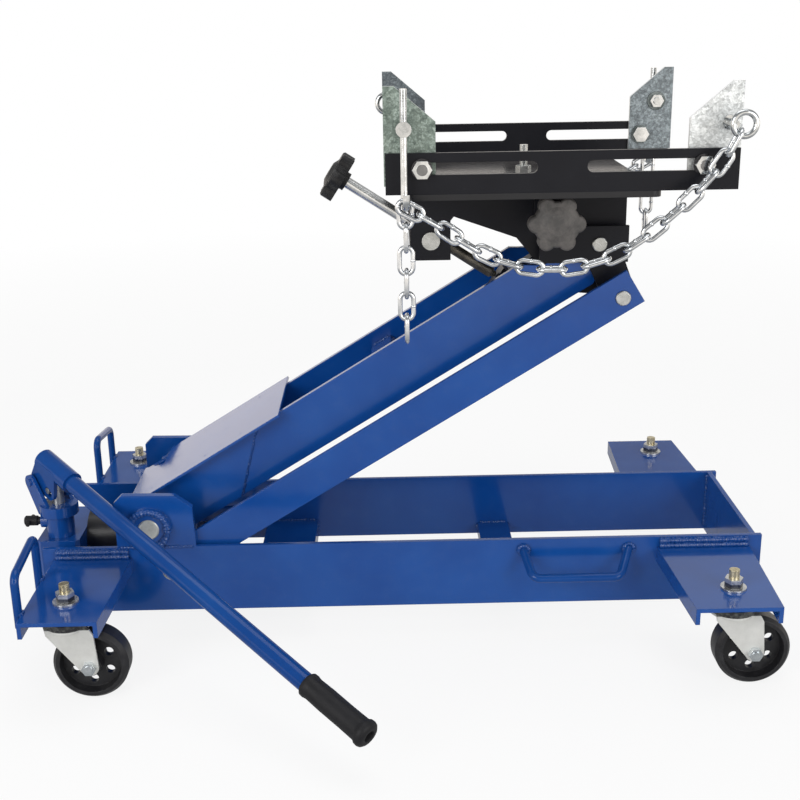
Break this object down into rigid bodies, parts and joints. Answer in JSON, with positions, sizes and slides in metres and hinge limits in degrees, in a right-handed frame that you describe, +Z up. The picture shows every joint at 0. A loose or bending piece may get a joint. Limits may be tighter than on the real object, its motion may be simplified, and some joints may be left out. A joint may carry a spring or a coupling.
{
  "type": "transmission jack",
  "caption": "Low-lift hydraulic transmission jack: parallelogram arm on a caster chassis, tilting saddle with corner brackets and hold-down chains.",
  "frame": {"origin": "on the floor, midway between the outer edges of the front and rear caster wings, on the centre plane between the side rails", "axes": "+X towards the saddle end, -Y the side where the pump handle lies, +Z up"},
  "size_m": [0.946, 0.7096, 0.694],
  "materials": {
    "blue_paint": "gloss royal blue enamel",
    "black_paint": "satin black enamel",
    "bright_steel": "turned steel, lightly oiled",
    "galvanised": "spangled galvanising",
    "zinc": "bright zinc plate",
    "wheel_black": "hard moulded wheel",
    "grip_black": "ribbed moulded rubber",
    "knob_black": "moulded plastic",
    "knob_grey": "worn moulded plastic"
  },
  "bodies": {
    "chassis": {"side_rail_near": "blue_paint", "side_rail_far": "blue_paint", "front_cross_plate": "blue_paint", "cross_brace": "blue_paint", "mid_cross_member": "blue_paint", "rear_base_plate": "blue_paint", "front_wings": "blue_paint", "rear_wings": "blue_paint", "hoop_handles": "blue_paint", "side_handles": "blue_paint", "pivot_brackets": "blue_paint", "main_shaft": "bright_steel", "link_pins": "bright_steel", "pump_block": "blue_paint", "reservoir": "black_paint", "lift_cylinder": "blue_paint", "pump_barrel": "blue_paint", "fulcrum_yoke": "blue_paint", "caster_stems": "zinc"},
    "arm": {"arm_plate_near": "blue_paint", "arm_plate_far": "blue_paint", "arm_hub": "blue_paint", "arm_cross_piece": "blue_paint", "arm_cover": "blue_paint"},
    "parallel_links": {"lower_links": "blue_paint"},
    "head": {"head_bracket": "black_paint", "head_pins": "bright_steel"},
    "cradle": {"cradle": "black_paint", "cradle_pins": "bright_steel"},
    "pitch_screw": {"pitch_screw": "bright_steel"},
    "pitch_knob": {"pitch_knob": "knob_black"},
    "saddle": {"top_plate": "black_paint", "saddle_rail_near": "black_paint", "saddle_rail_far": "black_paint", "centre_bolt": "bright_steel", "chain_near": "zinc", "chain_far": "zinc"},
    "roll_screw": {"roll_screw": "bright_steel"},
    "roll_knob": {"roll_knob": "knob_grey"},
    "handle": {"handle_socket": "blue_paint", "handle_tube": "blue_paint", "handle_grip": "grip_black"},
    "plunger": {"pump_plunger": "bright_steel"},
    "release_valve": {"release_valve": "grip_black"},
    "ram": {"ram_rod": "bright_steel", "ram_crosshead": "blue_paint"},
    "pull_links": {"pull_links": "blue_paint"},
    "corner_bracket_front_near": {"corner_bracket_front_near": "galvanised"},
    "corner_bracket_rear_near": {"corner_bracket_rear_near": "galvanised"},
    "corner_bracket_rear_far": {"corner_bracket_rear_far": "galvanised"},
    "corner_bracket_front_far": {"corner_bracket_front_far": "galvanised"},
    "fork_front_near": {"caster_fork_front_near": "zinc"},
    "wheel_front_near": {"caster_wheel_front_near": "wheel_black"},
    "fork_front_far": {"caster_fork_front_far": "zinc"},
    "wheel_front_far": {"caster_wheel_front_far": "wheel_black"},
    "fork_rear_near": {"caster_fork_rear_near": "zinc"},
    "wheel_rear_near": {"caster_wheel_rear_near": "wheel_black"},
    "fork_rear_far": {"caster_fork_rear_far": "zinc"},
    "wheel_rear_far": {"caster_wheel_rear_far": "wheel_black"}
  },
  "joints": [
    {"name": "arm_lift", "type": "hinge", "parent": "chassis", "child": "arm", "pos_m": [-0.312, 0, 0.16], "axis": [0, -1, 0], "range_deg": [-32.8, 30.7]},
    {"name": "link_swing", "type": "hinge", "parent": "chassis", "child": "parallel_links", "pos_m": [-0.287, 0, 0.1005], "axis": [0, -1, 0], "range_deg": [-33, 31]},
    {"name": "head_level", "type": "hinge", "parent": "arm", "child": "head", "pos_m": [0.24767, 0, 0.50028], "axis": [0, -1, 0], "range_deg": [-31, 33]},
    {"name": "saddle_pitch", "type": "hinge", "parent": "head", "child": "cradle", "pos_m": [0.24767, 0, 0.50028], "axis": [0, -1, 0], "range_deg": [-5, 5]},
    {"name": "pitch_screw_feed", "type": "slide", "parent": "cradle", "child": "pitch_screw", "axis": [0.8389, 0, -0.5443], "range_m": [-0.0095, 0.0095]},
    {"name": "pitch_knob_turn", "type": "hinge", "parent": "pitch_screw", "child": "pitch_knob", "pos_m": [-0.0701, 0, 0.5794], "axis": [0.8389, 0, -0.5443], "continuous": true},
    {"name": "saddle_roll", "type": "hinge", "parent": "cradle", "child": "saddle", "pos_m": [0.24767, 0, 0.55829], "axis": [1, 0, 0], "range_deg": [-8, 8]},
    {"name": "roll_screw_feed", "type": "slide", "parent": "saddle", "child": "roll_screw", "axis": [0, 1, 0], "range_m": [-0.003, 0.003]},
    {"name": "roll_knob_turn", "type": "hinge", "parent": "roll_screw", "child": "roll_knob", "pos_m": [0.18567, -0.14, 0.53729], "axis": [0, 1, 0], "continuous": true},
    {"name": "bracket_front_near_slide", "type": "slide", "parent": "saddle", "child": "corner_bracket_front_near", "axis": [-1, 0, 0], "range_m": [0, 0.11], "deforming": ["chain_near"]},
    {"name": "bracket_front_far_slide", "type": "slide", "parent": "saddle", "child": "corner_bracket_front_far", "axis": [-1, 0, 0], "range_m": [0, 0.11], "deforming": ["chain_far"]},
    {"name": "bracket_rear_near_slide", "type": "slide", "parent": "saddle", "child": "corner_bracket_rear_near", "axis": [1, 0, 0], "range_m": [0, 0.11], "deforming": ["chain_near"]},
    {"name": "bracket_rear_far_slide", "type": "slide", "parent": "saddle", "child": "corner_bracket_rear_far", "axis": [1, 0, 0], "range_m": [0, 0.11], "deforming": ["chain_far"]},
    {"name": "pump_stroke", "type": "hinge", "parent": "chassis", "child": "handle", "pos_m": [-0.46162, -0.02973, 0.198], "axis": [-0.6756, -0.7373, 0], "range_deg": [0, 45]},
    {"name": "plunger_slide", "type": "slide", "parent": "chassis", "child": "plunger", "axis": [0, 0, 1], "range_m": [0, 0.0245]},
    {"name": "release_valve_turn", "type": "hinge", "parent": "chassis", "child": "release_valve", "pos_m": [-0.47, -0.05, 0.147], "axis": [1, 0, 0], "range_deg": [0, 180]},
    {"name": "ram_slide", "type": "slide", "parent": "chassis", "child": "ram", "axis": [1, 0, 0], "range_m": [-0.0335, 0.0315]},
    {"name": "pull_link_swing", "type": "hinge", "parent": "arm", "child": "pull_links", "pos_m": [-0.3109, 0, 0.1], "axis": [0, -1, 0], "range_deg": [-31, 33]},
    {"name": "swivel_front_near", "type": "hinge", "parent": "chassis", "child": "fork_front_near", "pos_m": [0.391, -0.229, 0.102], "axis": [0, 0, 1], "continuous": true},
    {"name": "roll_front_near", "type": "hinge", "parent": "fork_front_near", "child": "wheel_front_near", "pos_m": [0.416, -0.229, 0.0445], "axis": [0, 1, 0], "continuous": true},
    {"name": "swivel_front_far", "type": "hinge", "parent": "chassis", "child": "fork_front_far", "pos_m": [0.391, 0.229, 0.102], "axis": [0, 0, 1], "continuous": true},
    {"name": "roll_front_far", "type": "hinge", "parent": "fork_front_far", "child": "wheel_front_far", "pos_m": [0.416, 0.229, 0.0445], "axis": [0, 1, 0], "continuous": true},
    {"name": "swivel_rear_near", "type": "hinge", "parent": "chassis", "child": "fork_rear_near", "pos_m": [-0.391, -0.229, 0.102], "axis": [0, 0, 1], "continuous": true},
    {"name": "roll_rear_near", "type": "hinge", "parent": "fork_rear_near", "child": "wheel_rear_near", "pos_m": [-0.366, -0.229, 0.0445], "axis": [0, 1, 0], "continuous": true},
    {"name": "swivel_rear_far", "type": "hinge", "parent": "chassis", "child": "fork_rear_far", "pos_m": [-0.391, 0.229, 0.102], "axis": [0, 0, 1], "continuous": true},
    {"name": "roll_rear_far", "type": "hinge", "parent": "fork_rear_far", "child": "wheel_rear_far", "pos_m": [-0.366, 0.229, 0.0445], "axis": [0, 1, 0], "continuous": true}
  ],
  "couplings": [
    {"joint": "link_swing", "follows": "arm_lift", "ratio": 1},
    {"joint": "head_level", "follows": "arm_lift", "ratio": -1},
    {"joint": "ram_slide", "follows": "arm_lift", "m_per_rad": 0.057},
    {"joint": "pull_link_swing", "follows": "arm_lift", "ratio": -1},
    {"joint": "pitch_screw_feed", "follows": "saddle_pitch", "m_per_rad": -0.1067},
    {"joint": "roll_screw_feed", "follows": "saddle_roll", "m_per_rad": -0.021},
    {"joint": "plunger_slide", "follows": "pump_stroke", "m_per_rad": 0.03}
  ]
}
